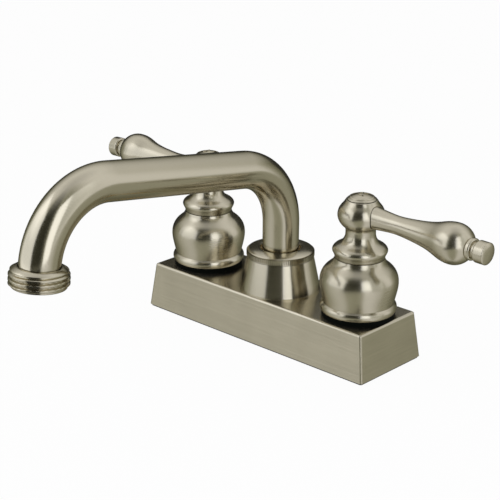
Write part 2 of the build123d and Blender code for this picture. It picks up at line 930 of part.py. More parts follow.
# Spout tube: up the swivel axis, out along the run and down the drop
run_z = base_z + run_rise
corner_z = run_z + reach * tan(radians(run_slope))
lean = radians(drop_lean)
drop_l = hose_top + hose_seat
drop_end = (-reach - drop_l * sin(lean), corner_z - drop_l * cos(lean))
with BuildPart() as spout_tube:
    with BuildLine(Plane.YZ):
        FilletPolyline((0, ferrule_foot), (0, run_z), (-reach, corner_z), drop_end, radius=bend_r)
    with BuildSketch(Plane.XY.offset(ferrule_foot)):
        Circle(tube_r)
        Circle(tube_r - tube_wall, mode=Mode.SUBTRACT)
    sweep()
write(spout_tube, "spout_tube")

# Hose end, whose profile's second direction runs down the drop from the outer corner
drop_plane = Plane(
    origin=(0, -reach, corner_z), x_dir=(1, 0, 0), z_dir=(0, cos(lean), -sin(lean))
)
hose_thread_start = hose_top + hose_bevel_h + hose_land_h
hose_ridges = thread_outline(hose_r - hose_thread_depth, hose_r, hose_pitch, hose_thread_count)
hose_foot = hose_thread_start + hose_thread_count * hose_pitch + hose_tip
with BuildPart() as hose_end:
    with BuildSketch(drop_plane):
        with BuildLine():
            Polyline(
                (tube_r + hose_mouth_gap, hose_top),
                (hose_face_r, hose_top),
                (hose_land_r, hose_top + hose_bevel_h),
                (hose_land_r, hose_thread_start),
                *[(r, hose_thread_start + along) for r, along in hose_ridges],
                (hose_r - hose_thread_depth, hose_foot),
                (tube_r - hose_lip, hose_foot),
                (tube_r - hose_lip, hose_top + hose_seat + seat_gap),
                (tube_r + seat_gap, hose_top + hose_seat + seat_gap),
                (tube_r + seat_gap, hose_top + hose_mouth_h),
                (tube_r + hose_mouth_gap, hose_top + hose_mouth_h),
                close=True,
            )
        make_face()
    revolve(axis=Axis(drop_plane.origin, drop_plane.y_dir))
write(hose_end, "hose_end")
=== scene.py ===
import math

import bmesh
import bpy
from mathutils import Matrix, Vector


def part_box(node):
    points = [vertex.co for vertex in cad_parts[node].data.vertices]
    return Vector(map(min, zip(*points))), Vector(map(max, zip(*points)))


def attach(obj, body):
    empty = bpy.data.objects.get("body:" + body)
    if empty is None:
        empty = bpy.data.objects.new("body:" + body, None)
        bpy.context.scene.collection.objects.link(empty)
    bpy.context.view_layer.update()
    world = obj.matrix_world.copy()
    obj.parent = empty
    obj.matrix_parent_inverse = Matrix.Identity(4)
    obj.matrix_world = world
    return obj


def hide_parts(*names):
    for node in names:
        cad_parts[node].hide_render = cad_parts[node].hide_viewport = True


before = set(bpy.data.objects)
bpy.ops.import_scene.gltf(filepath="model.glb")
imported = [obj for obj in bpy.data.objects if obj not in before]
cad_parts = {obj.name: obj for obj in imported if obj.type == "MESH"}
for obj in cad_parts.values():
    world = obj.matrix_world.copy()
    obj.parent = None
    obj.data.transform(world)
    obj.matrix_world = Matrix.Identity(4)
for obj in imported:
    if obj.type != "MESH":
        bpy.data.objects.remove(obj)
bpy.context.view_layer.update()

bl_info = {
    "name": "Utility Sink Faucet",
    "version": (1, 0, 0),
    "blender": (4, 5, 0),
    "location": "View3D > Sidebar > Faucet",
    "description": "Dresses a packed sink faucet: satin nickel, knurled nut, threads and index marks",
    "category": "Object",
}

MM = 0.001
LETTERS = {"hot": "H", "cold": "C"}
BUTTON_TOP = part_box("hot_index_button")[1].z
TUBE_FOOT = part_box("spout_tube")[0].z
NUT_FOOT, NUT_TOP = (corner.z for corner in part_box("spout_nut"))

ZERO = (0.0, 0.0, 0.0)
WHITE = (1.0, 1.0, 1.0)
ACROSS = Vector((1.0, 0.0, 0.0))
UPRIGHT = Vector((0.0, 0.0, 1.0))
QUARTER_TURN = math.pi / 2
PHOTO_AZIMUTH = 42.90  # degrees from the front towards the cold handle
SHARP_EDGE = math.radians(35)
WELD = 0.002 * MM
BUMP_HEIGHT = 0.04 * MM
BRUSH_TURN = 0.25  # turns the anisotropy across the brushed lines


def length(name, text, default, low=0.0, high=1.0):
    """A length in metres, shown in the scene's units."""
    return bpy.props.FloatProperty(
        name=name, description=text, default=default, min=low, max=high,
        unit="LENGTH", subtype="DISTANCE", precision=5,
    )


def angle(name, text, degrees):
    """An angle, kept in radians."""
    return bpy.props.FloatProperty(
        name=name, description=text, default=math.radians(degrees), unit="ROTATION", subtype="ANGLE",
    )


def colour(name, text, default):
    """A linear colour."""
    return bpy.props.FloatVectorProperty(
        name=name, description=text, default=default, size=3, min=0.0, max=1.0, subtype="COLOR",
    )


def factor(name, text, default, low=0.0, high=1.0):
    """A plain number."""
    return bpy.props.FloatProperty(
        name=name, description=text, default=default, min=low, max=high, subtype="FACTOR",
    )


def count(name, text, default):
    """A whole number."""
    return bpy.props.IntProperty(name=name, description=text, default=default, min=1, max=4096)


class FaucetFinish(bpy.types.PropertyGroup):
    """Colours and finishes."""

    nickel: colour("Nickel", "Colour of the satin nickel plating", (0.60, 0.555, 0.44))
    edge_tint: colour("Edge Tint", "Tint of the nickel's grazing reflections", (0.6, 0.6, 0.58))
    bell_roughness: factor("Bell Roughness", "Roughness of the bells and hubs", 0.25)
    sleeve_roughness: factor("Sleeve Roughness", "Roughness of the sleeve and its nut", 0.22)
    tube_roughness: factor("Tube Roughness", "Roughness of the spout tube and the hose end", 0.18)
    lever_roughness: factor("Lever Roughness", "Roughness of the levers", 0.25)
    base_roughness: factor("Base Roughness", "Roughness of the base cover", 0.23)
    smear: factor("Smear", "How far brushed lines smear a reflection across them", 0.7)
    brush_depth: factor("Brush Depth", "How deep the brushed lines look", 0.16)
    brass: colour("Brass", "Colour of the cast and turned brass", (0.70, 0.50, 0.22))
    steel: colour("Steel", "Colour of the washers and screws", (0.58, 0.58, 0.57))
    rubber: colour("Rubber", "Colour of the gasket and the O-rings", (0.011, 0.011, 0.012))
    # The rings' near-black colour is partly their black plastic and partly painted shade from under the
    # bells.
    ring_plastic_shade: colour("Ring Plastic and Shade", "Colour of the rings under the bells", (0.003, 0.004, 0.003))
    washer_plastic: colour("Washer Plastic", "Colour of the friction washer", (0.72, 0.71, 0.67))
    ceramic: colour("Ceramic", "Colour of the valve discs", (0.80, 0.79, 0.74))


class FaucetSpout(bpy.types.PropertyGroup):
    """The spout tube's line and section."""

    tube_radius: length("Tube Radius", "Outer radius of the tube", 9.17 * MM)
    wall: length("Wall", "Thickness of the tube's wall", 1.1 * MM)
    foot: length("Foot", "Height of the tube's foot", TUBE_FOOT)
    run_height: length("Run Height", "Height where the run's line meets the swivel axis", 87.65 * MM)
    reach: length("Reach", "From the swivel axis to the outer corner", 149.7 * MM)
    slope: angle("Slope", "Slope of the run", 9.06)
    drop: length("Drop", "From the outer corner to the tube's end", 39.6 * MM)
    lean: angle("Lean", "Outward lean of the drop", 5.5)
    bend_radius: length("Bend Radius", "Radius of both bends", 33.8 * MM)
    bend_points: count("Bend Points", "Points along each bend", 40)
    sides: count("Sides", "Sides of the tube's section", 96)


class FaucetNut(bpy.types.PropertyGroup):
    """The knurled spout nut."""

    band_radius: length("Band Radius", "Radius of the plain band under the teeth", 16.3 * MM)
    tooth_tip: length("Tooth Tip", "Radius over the teeth", 17.17 * MM)
    tooth_width: length("Tooth Width", "Width of a tooth", 0.6 * MM)
    tooth_depth: length("Tooth Depth", "Depth of a tooth, root included", 1.0 * MM)
    tooth_height: length("Tooth Height", "Height of a tooth", 2.35 * MM)
    teeth: count("Teeth", "Teeth round the nut", 97)


class FaucetThreads(bpy.types.PropertyGroup):
    """The hose thread and the shank threads."""

    hose_crest: length("Hose Crest", "Radius over the hose thread", 13.26 * MM)
    hose_depth: length("Hose Depth", "Depth of the hose thread", 1.15 * MM)
    hose_pitch: length("Hose Pitch", "Pitch of the hose thread", 2.209 * MM)
    shank_crest: length("Shank Crest", "Radius over the shank's thread", 10.45 * MM)
    shank_depth: length("Shank Depth", "Depth of the shank's thread", 0.9 * MM)
    shank_pitch: length("Shank Pitch", "Pitch of the shank's thread", 1.814 * MM)
    rows: count("Rows", "Rows of faces in one pitch", 14)
    columns: count("Columns", "Columns of faces round a thread", 96)


class FaucetMarks(bpy.types.PropertyGroup):
    """The index buttons, and the raised ring and letter on each."""

    ring_radius: length("Ring Radius", "Radius of the raised ring", 5.7 * MM)
    ring_width: length("Ring Width", "Width of the raised ring", 1.0 * MM)
    letter_height: length("Letter Height", "Size of the letter", 6.4 * MM)
    relief: length("Relief", "How far the marks stand out", 0.32 * MM)
    undercut: length("Undercut", "Shadow gap round the button's foot", 0.45 * MM)
    dome_radius: length("Dome Radius", "Radius of the button's dome", 12.485 * MM)


class FaucetStage(bpy.types.PropertyGroup):
    """Camera, lights and floor."""

    camera_at: bpy.props.FloatVectorProperty(
        name="Camera Place", description="Where the camera stands", subtype="TRANSLATION",
        default=(0.44988, -0.50672, 0.29435), precision=5,
    )
    azimuth: angle("Azimuth", "Direction of the camera round the faucet", PHOTO_AZIMUTH)
    elevation: angle("Elevation", "Height angle of the camera", 20.31)
    roll: angle("Roll", "Turn of the camera about its own axis", 0.41)
    focal: bpy.props.FloatProperty(
        name="Focal Length", description="Focal length on a 36 mm wide sensor", default=103.28,
        unit="CAMERA", min=1.0,
    )
    floor: colour("Floor", "Colour of the floor", (0.86, 0.86, 0.86))
    floor_glow: factor("Floor Glow", "Share of plain white in what the camera sees of the floor", 0.96)
    room: factor("Room Light", "Strength of the light from all round", 0.6, high=4.0)
    left_box: factor("Left Box", "Brightness of the left soft box, where 1 is white", 0.85, high=4.0)
    right_box: factor("Right Box", "Brightness of the right soft box", 1.35, high=4.0)
    side_box: factor("Side Box", "Brightness of the soft box beside it", 0.35, high=4.0)


GROUPS = {
    "faucet_finish": FaucetFinish,
    "faucet_spout": FaucetSpout,
    "faucet_nut": FaucetNut,
    "faucet_threads": FaucetThreads,
    "faucet_marks": FaucetMarks,
    "faucet_stage": FaucetStage,
}


def linked(name, data):
    """A new object in the scene."""
    thing = bpy.data.objects.new(name, data)
    bpy.context.scene.collection.objects.link(thing)
    return thing


def wire(tree, source, target):
    """Links two sockets."""
    tree.links.new(source, target)


def put(tree, kind, **values):
    """Adds a node; values name its properties, or in_NAME its inputs."""
    node = tree.nodes.new(kind)
    for name, value in values.items():
        if name.startswith("in_"):
            key = name[3:]
            socket = node.inputs[int(key)] if key.isdigit() else node.inputs[key.replace("_", " ")]
            if isinstance(value, bpy.types.NodeSocket):
                wire(tree, value, socket)
            else:
                socket.default_value = value
        else:
            setattr(node, name, value)
    return node


def figure(tree, operation, *values):
    """A Math node; each value is a number or a socket."""
    node = put(tree, "ShaderNodeMath", operation=operation)
    for i, value in enumerate(values):
        if isinstance(value, bpy.types.NodeSocket):
            wire(tree, value, node.inputs[i])
        else:
            node.inputs[i].default_value = value
    return node.outputs[0]


def mixed(tree, share, first, second):
    """Two shaders, mixed by a share."""
    node = put(tree, "ShaderNodeMixShader")
    for socket, source in zip(node.inputs, (share, first, second)):
        wire(tree, source, socket)
    return node.outputs[0]


def glow(tree, kind, paint, strength=1.0):
    """An Emission or Background node's shader."""
    return put(tree, kind, in_Color=(*paint, 1.0), in_Strength=strength).outputs[0]


def bare_material(name):
    """A new material with no nodes but its output; also its tree and the output's surface."""
    material = bpy.data.materials.new(name)
    material.use_nodes = True
    tree = material.node_tree
    tree.nodes.clear()
    return material, tree, put(tree, "ShaderNodeOutputMaterial").inputs["Surface"]


def group_tree(name, kind, inputs, outputs):
    """An empty node group with its sockets, and its input and output nodes."""
    tree = bpy.data.node_groups.new(name, kind)
    for label, socket, default in inputs:
        item = tree.interface.new_socket(label, in_out="INPUT", socket_type=socket)
        if default is not None:
            item.default_value = default
    for label, socket in outputs:
        tree.interface.new_socket(label, in_out="OUTPUT", socket_type=socket)
    return tree, tree.nodes.new("NodeGroupInput"), tree.nodes.new("NodeGroupOutput")


EFFECT_OUTPUTS = (
    ("Color", "NodeSocketColor"), ("Roughness", "NodeSocketFloat"), ("Height", "NodeSocketFloat"),
)


def vary(tree, given, made, pattern, height):
    """Lets a pattern move an effect's roughness and colour, and puts out its height."""
    rough = figure(tree, "MULTIPLY_ADD", pattern, given.outputs["Spread"], given.outputs["Roughness"])
    level = figure(tree, "MULTIPLY_ADD", pattern, given.outputs["Tone"], 1.0)
    tint = put(
        tree, "ShaderNodeVectorMath", operation="SCALE", in_0=given.outputs["Color"], in_Scale=level,
    )
    wire(tree, tint.outputs[0], made.inputs["Color"])
    wire(tree, rough, made.inputs["Roughness"])
    wire(tree, height, made.inputs["Height"])


def brushed_group():
    """Fine lines left by a belt or a lathe: they vary along Z of the given vector."""
    name = "brushed_lines"
    if name in bpy.data.node_groups:
        return bpy.data.node_groups[name]
    tree, given, made = group_tree(
        name, "ShaderNodeTree",
        (
            ("Vector", "NodeSocketVector", None),
            ("Line Scale", "NodeSocketFloat", 2600.0),
            ("Stretch", "NodeSocketFloat", 60.0),
            ("Roughness", "NodeSocketFloat", 0.25),
            ("Spread", "NodeSocketFloat", 0.1),
            ("Color", "NodeSocketColor", (0.6, 0.55, 0.45, 1.0)),
            ("Tone", "NodeSocketFloat", 0.05),
        ),
        EFFECT_OUTPUTS,
    )
    fine = given.outputs["Line Scale"]
    across = figure(tree, "DIVIDE", fine, given.outputs["Stretch"])
    scale = put(tree, "ShaderNodeCombineXYZ", in_X=across, in_Y=across, in_Z=fine)
    place = given.outputs["Vector"]
    spread = put(
        tree, "ShaderNodeVectorMath", operation="MULTIPLY", in_0=place, in_1=scale.outputs[0],
    ).outputs[0]
    lines = put(
        tree, "ShaderNodeTexNoise", in_Vector=spread, in_Scale=1.0, in_Detail=2.0, in_Roughness=0.55,
    )
    cloud = put(
        tree, "ShaderNodeTexNoise", in_Vector=place, in_Scale=60.0, in_Detail=3.0, in_Roughness=0.5,
    )
    centred = figure(tree, "SUBTRACT", lines.outputs[0], 0.5)
    drift = figure(tree, "SUBTRACT", cloud.outputs[0], 0.5)
    vary(tree, given, made, figure(tree, "ADD", centred, drift), lines.outputs[0])
    return tree


def grain_group():
    """A fine grain for castings, rubber, plastics and ceramic."""
    name = "fine_grain"
    if name in bpy.data.node_groups:
        return bpy.data.node_groups[name]
    tree, given, made = group_tree(
        name, "ShaderNodeTree",
        (
            ("Vector", "NodeSocketVector", None),
            ("Grain Scale", "NodeSocketFloat", 900.0),
            ("Roughness", "NodeSocketFloat", 0.5),
            ("Spread", "NodeSocketFloat", 0.1),
            ("Color", "NodeSocketColor", (0.5, 0.5, 0.5, 1.0)),
            ("Tone", "NodeSocketFloat", 0.1),
        ),
        EFFECT_OUTPUTS,
    )
    place, fine = given.outputs["Vector"], given.outputs["Grain Scale"]
    grain = put(
        tree, "ShaderNodeTexNoise", in_Vector=place, in_Scale=fine, in_Detail=4.0, in_Roughness=0.6,
    )
    cloud = put(tree, "ShaderNodeTexNoise", in_Vector=place, in_Scale=70.0, in_Detail=2.0)
    both = figure(tree, "SUBTRACT", figure(tree, "ADD", grain.outputs[0], cloud.outputs[0]), 1.0)
    vary(tree, given, made, both, grain.outputs[0])
    return tree


def finishes():
    """The scene's colours and finishes."""
    return bpy.context.scene.faucet_finish


def finished_material(name, effect, values, roughness, metallic, depth, turn=ZERO, attribute=None,
                      coat=0.0, specular=0.5, plated=False, brushed=None):
    """A material whose colour, roughness and bump come from one effect group.

    Plated metal has the edge tint. Metal brushed "round" has lines round the upright axis, and metal
    brushed "along" has lines along X; both smear what they mirror.
    """
    if name in bpy.data.materials:
        return bpy.data.materials[name]
    material, tree, out = bare_material(name)
    if attribute:
        place = put(tree, "ShaderNodeAttribute", attribute_name=attribute).outputs["Vector"]
    else:
        place = put(tree, "ShaderNodeTexCoord").outputs["Object"]
    mapping = put(tree, "ShaderNodeMapping", in_Vector=place, in_Rotation=turn)
    group = put(
        tree, "ShaderNodeGroup", node_tree=effect, in_Vector=mapping.outputs[0], in_Roughness=roughness,
    )
    for label, value in values.items():
        group.inputs[label].default_value = value
    bump = put(
        tree, "ShaderNodeBump", in_Strength=depth, in_Distance=BUMP_HEIGHT,
        in_Height=group.outputs["Height"],
    )
    surface = put(
        tree, "ShaderNodeBsdfPrincipled", in_Metallic=metallic, in_Coat_Weight=coat,
        in_Specular_IOR_Level=specular, in_Base_Color=group.outputs["Color"],
        in_Roughness=group.outputs["Roughness"], in_Normal=bump.outputs[0],
    )
    if plated:
        surface.inputs["Specular Tint"].default_value = (*finishes().edge_tint, 1.0)
    if brushed:
        if brushed == "round":
            tangent = put(tree, "ShaderNodeTangent", direction_type="RADIAL", axis="Z")
        else:
            tangent = put(tree, "ShaderNodeCombineXYZ", in_X=1.0)
        wire(tree, tangent.outputs[0], surface.inputs["Tangent"])
        surface.inputs["Anisotropic"].default_value = finishes().smear
        surface.inputs["Anisotropic Rotation"].default_value = BRUSH_TURN
    wire(tree, surface.outputs[0], out)
    return material


def nickel(name, roughness, lines=2600.0, depth=None, tone=0.06, **look):
    """Satin nickel whose lines run round Z of the turned coordinates."""
    values = {
        "Color": (*finishes().nickel, 1.0), "Spread": 0.08, "Tone": tone, "Line Scale": lines,
        "Stretch": 55.0,
    }
    depth = finishes().brush_depth if depth is None else depth
    return finished_material(name, brushed_group(), values, roughness, 1.0, depth, plated=True, **look)


def bell_nickel():
    """Lathe-brushed nickel of the hubs, the bells and the index buttons."""
    return nickel("nickel_turned", finishes().bell_roughness, brushed="round")


def sleeve_nickel():
    """The smoother nickel of the sleeve and its nut."""
    return nickel("nickel_sleeve", finishes().sleeve_roughness, brushed="round")


def lever_nickel():
    """Nickel with fine lines round the levers' own axis."""
    return nickel("nickel_lever", finishes().lever_roughness, turn=(0.0, QUARTER_TURN, 0.0))


def tube_nickel():
    """Nickel with fine lines round the spout tube, read along its line."""
    return nickel("nickel_tube", finishes().tube_roughness, attribute="straight")


def base_nickel():
    """Nickel belt-brushed along the base."""
    roughness = finishes().base_roughness
    return nickel("nickel_base", roughness, lines=1500.0, depth=0.04, tone=0.2, brushed="along")


def thread_nickel():
    """Nickel of the hose end."""
    return nickel("nickel_thread", finishes().tube_roughness, depth=0.08)


def metal(name, shade, roughness):
    """Bare metal off a lathe."""
    values = {
        "Color": (*shade, 1.0), "Spread": 0.12, "Tone": 0.14, "Line Scale": 2200.0, "Stretch": 40.0,
    }
    return finished_material(name, brushed_group(), values, roughness, metallic=1.0, depth=0.2)


def turned_brass():
    """Brass of the shanks, their nuts and the cartridges."""
    return metal("brass_turned", finishes().brass, roughness=0.3)


def turned_steel():
    """Steel of the washers and screws."""
    return metal("steel_turned", finishes().steel, roughness=0.32)


def grained(name, shade, roughness, scale=900.0, depth=0.15, tone=0.15, metallic=0.0, **look):
    """Rubber, plastic, ceramic or a casting's skin."""
    values = {"Color": (*shade, 1.0), "Spread": 0.15, "Tone": tone, "Grain Scale": scale}
    return finished_material(name, grain_group(), values, roughness, metallic, depth, **look)


def cast_brass():
    """The rough skin of the waterway's casting."""
    return grained("brass_cast", finishes().brass, roughness=0.42, scale=1400.0, depth=0.5, metallic=1.0)


def black_rubber():
    """Rubber of the gasket and the seals."""
    return grained("rubber_black", finishes().rubber, roughness=0.62, scale=1600.0, depth=0.2)


def ring_plastic_shade():
    """Dull black plastic of the rings under the bells, with painted shade: its near-black colour and
    faint specular stand in for the shade beneath the bells.
    """
    shade = finishes().ring_plastic_shade
    return grained("plastic_ring_shade", shade, roughness=0.6, scale=1200.0, depth=0.06, specular=0.03)


def washer_plastic():
    """Pale plastic of the friction washer."""
    return grained("plastic_washer", finishes().washer_plastic, roughness=0.4, tone=0.04)


def disc_ceramic():
    """Smooth ceramic of the valve discs."""
    shade = finishes().ceramic
    return grained("ceramic_disc", shade, roughness=0.22, scale=2600.0, depth=0.03, tone=0.04, coat=0.2)


def dress(material, *nodes):
    """Gives CAD nodes their material."""
    for node in nodes:
        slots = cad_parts[node].data.materials
        slots.clear()
        slots.append(material)


def smooth(mesh):
    """Shades a mesh smooth but for its sharp edges."""
    mesh.polygons.foreach_set("use_smooth", [True] * len(mesh.polygons))
    mesh.set_sharp_from_angle(angle=SHARP_EDGE)


def piece_from(name, mesh, material):
    """Links a mesh as a finished piece, with its seams closed and its faces outwards."""
    body = bmesh.new()
    body.from_mesh(mesh)
    bmesh.ops.remove_doubles(body, verts=body.verts, dist=WELD)
    bmesh.ops.recalc_face_normals(body, faces=body.faces)
    body.to_mesh(mesh)
    body.free()
    smooth(mesh)
    mesh.materials.clear()
    mesh.materials.append(material)
    return linked(name, mesh)


def plain_mesh(thing):
    """The mesh that an object makes, with its modifiers applied."""
    bpy.context.view_layer.update()
    graph = bpy.context.evaluated_depsgraph_get()
    return bpy.data.meshes.new_from_object(thing.evaluated_get(graph), depsgraph=graph)


def turned_mesh(name, loop, columns, place=ZERO, axis=UPRIGHT):
    """A closed loop of profile points turned about an axis; a radius may be a function of the turn."""
    axis = axis.normalized()
    second = axis.cross(ACROSS)
    place = Vector(place)
    points = []
    for radius, along in loop:
        for i in range(columns):
            turn = 2 * math.pi * i / columns
            r = radius(turn) if callable(radius) else radius
            points.append(place + axis * along + (ACROSS * math.cos(turn) + second * math.sin(turn)) * r)
    faces = []
    rows = len(loop)
    for j in range(rows):
        k = (j + 1) % rows
        for i in range(columns):
            n = (i + 1) % columns
            faces.append((j * columns + i, j * columns + n, k * columns + n, k * columns + i))
    mesh = bpy.data.meshes.new(name)
    mesh.from_pydata([tuple(p) for p in points], [], faces)
    mesh.update()
    return mesh


def thread_rows(start, end, crest, depth, pitch, rows, phase=0.0):
    """Profile points of a right-hand thread, which fades in and out over part of a pitch."""
    fade_in, fade_out = 0.45 * pitch, 0.35 * pitch
    ridge_top, ridge_slope = 1.6, 3.6
    steps = max(2, round((end - start) / pitch * rows))
    made = []
    for j in range(steps + 1):
        along = start + (end - start) * j / steps
        fade = max(0.0, min(1.0, (along - start) / fade_in, (end - along) / fade_out))

        def radius(turn, along=along, fade=fade):
            part = ((along - start) / pitch - (turn - phase) / (2 * math.pi)) % 1.0
            ridge = min(1.0, max(0.0, ridge_top - abs(part - 0.5) * ridge_slope))
            return crest - depth + depth * ridge * fade

        made.append((radius, along))
    return made


class FAUCET_OT_finish_nodes(bpy.types.Operator):
    """Give each CAD node that isn't replaced its material"""

    bl_idname = "faucet.finish_nodes"
    bl_label = "Finish the Nodes"

    def execute(self, context):
        dress(base_nickel(), "base_cover")
        dress(cast_brass(), "waterway_body")
        dress(sleeve_nickel(), "spout_sleeve")
        dress(turned_brass(), "spout_ferrule")
        dress(washer_plastic(), "spout_washer")
        dress(black_rubber(), "base_gasket", "spout_orings")
        on_each_side = (
            (bell_nickel(), ("bell", "hub")),
            (lever_nickel(), ("lever",)),
            # The rings under the bells get black plastic with painted shade.
            (ring_plastic_shade(), ("bell_ring",)),
            (turned_brass(), ("shank_nut", "cartridge_body", "stem", "bonnet_nut")),
            (turned_steel(), ("shank_washer", "handle_screw")),
            (black_rubber(), ("seat_seal", "body_oring", "stem_oring")),
            (disc_ceramic(), ("fixed_disc", "moving_disc")),
        )
        for material, parts in on_each_side:
            dress(material, *(f"{side}_{part}" for side in LETTERS for part in parts))
        return {"FINISHED"}


def tube_tree(material):
    """Nodes that draw the tube's line through its corners, round them and sweep the section."""
    tree, given, made = group_tree(
        "tube_line", "GeometryNodeTree",
        (
            ("Foot", "NodeSocketFloat", 0.024),
            ("Run Height", "NodeSocketFloat", 0.088),
            ("Reach", "NodeSocketFloat", 0.15),
            ("Slope", "NodeSocketFloat", 0.158),
            ("Drop", "NodeSocketFloat", 0.04),
            ("Lean", "NodeSocketFloat", 0.096),
            ("Bend Radius", "NodeSocketFloat", 0.034),
            ("Bend Points", "NodeSocketInt", 40),
            ("Tube Radius", "NodeSocketFloat", 0.0092),
            ("Sides", "NodeSocketInt", 96),
        ),
        (("Geometry", "NodeSocketGeometry"),),
    )
    size = given.outputs
    rise = figure(tree, "MULTIPLY", size["Reach"], figure(tree, "TANGENT", size["Slope"]))
    corner = figure(tree, "ADD", size["Run Height"], rise)
    back = figure(tree, "MULTIPLY", size["Reach"], -1.0)
    out = figure(tree, "MULTIPLY", size["Drop"], figure(tree, "SINE", size["Lean"]))
    down = figure(tree, "MULTIPLY", size["Drop"], figure(tree, "COSINE", size["Lean"]))
    stops = (
        put(tree, "ShaderNodeCombineXYZ", in_Z=size["Foot"]),
        put(tree, "ShaderNodeCombineXYZ", in_Z=size["Run Height"]),
        put(tree, "ShaderNodeCombineXYZ", in_Y=back, in_Z=corner),
        put(
            tree, "ShaderNodeCombineXYZ", in_Y=figure(tree, "SUBTRACT", back, out),
            in_Z=figure(tree, "SUBTRACT", corner, down),
        ),
    )
    chain = put(tree, "GeometryNodeMeshLine", in_Count=len(stops))
    choose = put(tree, "GeometryNodeIndexSwitch", data_type="VECTOR")
    while len(choose.index_switch_items) < len(stops):
        choose.index_switch_items.new()
    wire(tree, put(tree, "GeometryNodeInputIndex").outputs[0], choose.inputs["Index"])
    for i, stop in enumerate(stops):
        wire(tree, stop.outputs[0], choose.inputs[i + 1])
    placed = put(
        tree, "GeometryNodeSetPosition", in_Geometry=chain.outputs[0], in_Position=choose.outputs[0],
    )
    line = put(tree, "GeometryNodeMeshToCurve", in_Mesh=placed.outputs[0])
    rounded = put(
        tree, "GeometryNodeFilletCurve", mode="POLY", in_Curve=line.outputs[0],
        in_Radius=size["Bend Radius"], in_Count=size["Bend Points"],
    )

    def stored(name, kind, geometry, value):
        return put(
            tree, "GeometryNodeStoreNamedAttribute", data_type=kind, domain="POINT",
            in_Geometry=geometry.outputs[0], in_Name=name, in_Value=value,
        )

    def recalled(name, kind):
        return put(tree, "GeometryNodeInputNamedAttribute", data_type=kind, in_Name=name).outputs[0]

    way = put(tree, "GeometryNodeSplineParameter").outputs["Length"]
    along = stored("along", "FLOAT", rounded, way)
    section = put(
        tree, "GeometryNodeCurvePrimitiveCircle", in_Resolution=size["Sides"],
        in_Radius=size["Tube Radius"],
    )
    place = put(tree, "GeometryNodeInputPosition").outputs[0]
    outline = stored("straight", "FLOAT_VECTOR", section, place)
    sweep = put(
        tree, "GeometryNodeCurveToMesh", in_Curve=along.outputs[0], in_Profile_Curve=outline.outputs[0],
    )
    parts = put(tree, "ShaderNodeSeparateXYZ", in_0=recalled("straight", "FLOAT_VECTOR"))
    whole = put(
        tree, "ShaderNodeCombineXYZ", in_X=parts.outputs[0], in_Y=parts.outputs[1],
        in_Z=recalled("along", "FLOAT"),
    )
    straight = stored("straight", "FLOAT_VECTOR", sweep, whole.outputs[0])
    real = put(tree, "GeometryNodeRealizeInstances", in_Geometry=straight.outputs[0])
    coat = put(tree, "GeometryNodeSetMaterial", in_Geometry=real.outputs[0], in_Material=material)
    wire(tree, coat.outputs[0], made.inputs[0])
    return tree


def run_tree(name, tree, values):
    """Runs a node tree on an empty mesh and returns the plain mesh that it makes."""
    shell = linked(name, bpy.data.meshes.new(name))
    modifier = shell.modifiers.new(name, "NODES")
    modifier.node_group = tree
    for item in tree.interface.items_tree:
        if item.item_type == "SOCKET" and item.in_out == "INPUT" and item.name in values:
            modifier[item.identifier] = values[item.name]
    mesh = plain_mesh(shell)
    bpy.data.objects.remove(shell)
    if not len(mesh.polygons):
        raise RuntimeError(f"{name} made no faces")
    return mesh


class FAUCET_OT_spout_tube(bpy.types.Operator):
    """Sweep the spout tube along its line"""

    bl_idname = "faucet.spout_tube"
    bl_label = "Spout Tube"

    def execute(self, context):
        spout = context.scene.faucet_spout
        material = tube_nickel()
        values = {
            "Foot": spout.foot, "Run Height": spout.run_height, "Reach": spout.reach,
            "Slope": spout.slope, "Drop": spout.drop, "Lean": spout.lean,
            "Bend Radius": spout.bend_radius, "Bend Points": spout.bend_points,
            "Tube Radius": spout.tube_radius, "Sides": spout.sides,
        }
        skin = run_tree("spout_tube_skin", tube_tree(material), values)
        tube = piece_from("spout_tube_swept", skin, material)
        wall = tube.modifiers.new("wall", "SOLIDIFY")
        wall.thickness = spout.wall
        wall.offset = -1.0
        wall.use_even_offset = True
        walled = plain_mesh(tube)
        tube.modifiers.clear()
        tube.data = walled
        smooth(walled)
        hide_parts("spout_tube")
        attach(tube, "spout")
        return {"FINISHED"}


def knurl_tree(material):
    """Nodes that stand square teeth round a ring."""
    tree, given, made = group_tree(
        "knurl_teeth", "GeometryNodeTree",
        (
            ("Teeth", "NodeSocketInt", 97),
            ("Tip Radius", "NodeSocketFloat", 0.017),
            ("Tooth Width", "NodeSocketFloat", 0.0007),
            ("Tooth Depth", "NodeSocketFloat", 0.001),
            ("Tooth Height", "NodeSocketFloat", 0.0018),
            ("Middle", "NodeSocketFloat", 0.043),
        ),
        (("Geometry", "NodeSocketGeometry"),),
    )
    size = given.outputs
    half_depth = figure(tree, "MULTIPLY", size["Tooth Depth"], 0.5)
    ring = put(
        tree, "GeometryNodeMeshCircle", in_Vertices=size["Teeth"],
        in_Radius=figure(tree, "SUBTRACT", size["Tip Radius"], half_depth),
    )
    block = put(
        tree, "ShaderNodeCombineXYZ", in_X=size["Tooth Depth"], in_Y=size["Tooth Width"],
        in_Z=size["Tooth Height"],
    )
    tooth = put(tree, "GeometryNodeMeshCube", in_Size=block.outputs[0])
    place = put(tree, "GeometryNodeInputPosition").outputs[0]
    outwards = put(tree, "FunctionNodeAlignRotationToVector", axis="X", in_Vector=place)
    stand = put(
        tree, "GeometryNodeInstanceOnPoints", in_Points=ring.outputs[0], in_Instance=tooth.outputs[0],
        in_Rotation=outwards.outputs[0],
    )
    up = put(tree, "ShaderNodeCombineXYZ", in_Z=size["Middle"])
    lifted = put(
        tree, "GeometryNodeTransform", in_Geometry=stand.outputs[0], in_Translation=up.outputs[0],
    )
    real = put(tree, "GeometryNodeRealizeInstances", in_Geometry=lifted.outputs[0])
    coat = put(tree, "GeometryNodeSetMaterial", in_Geometry=real.outputs[0], in_Material=material)
    wire(tree, coat.outputs[0], made.inputs[0])
    return tree


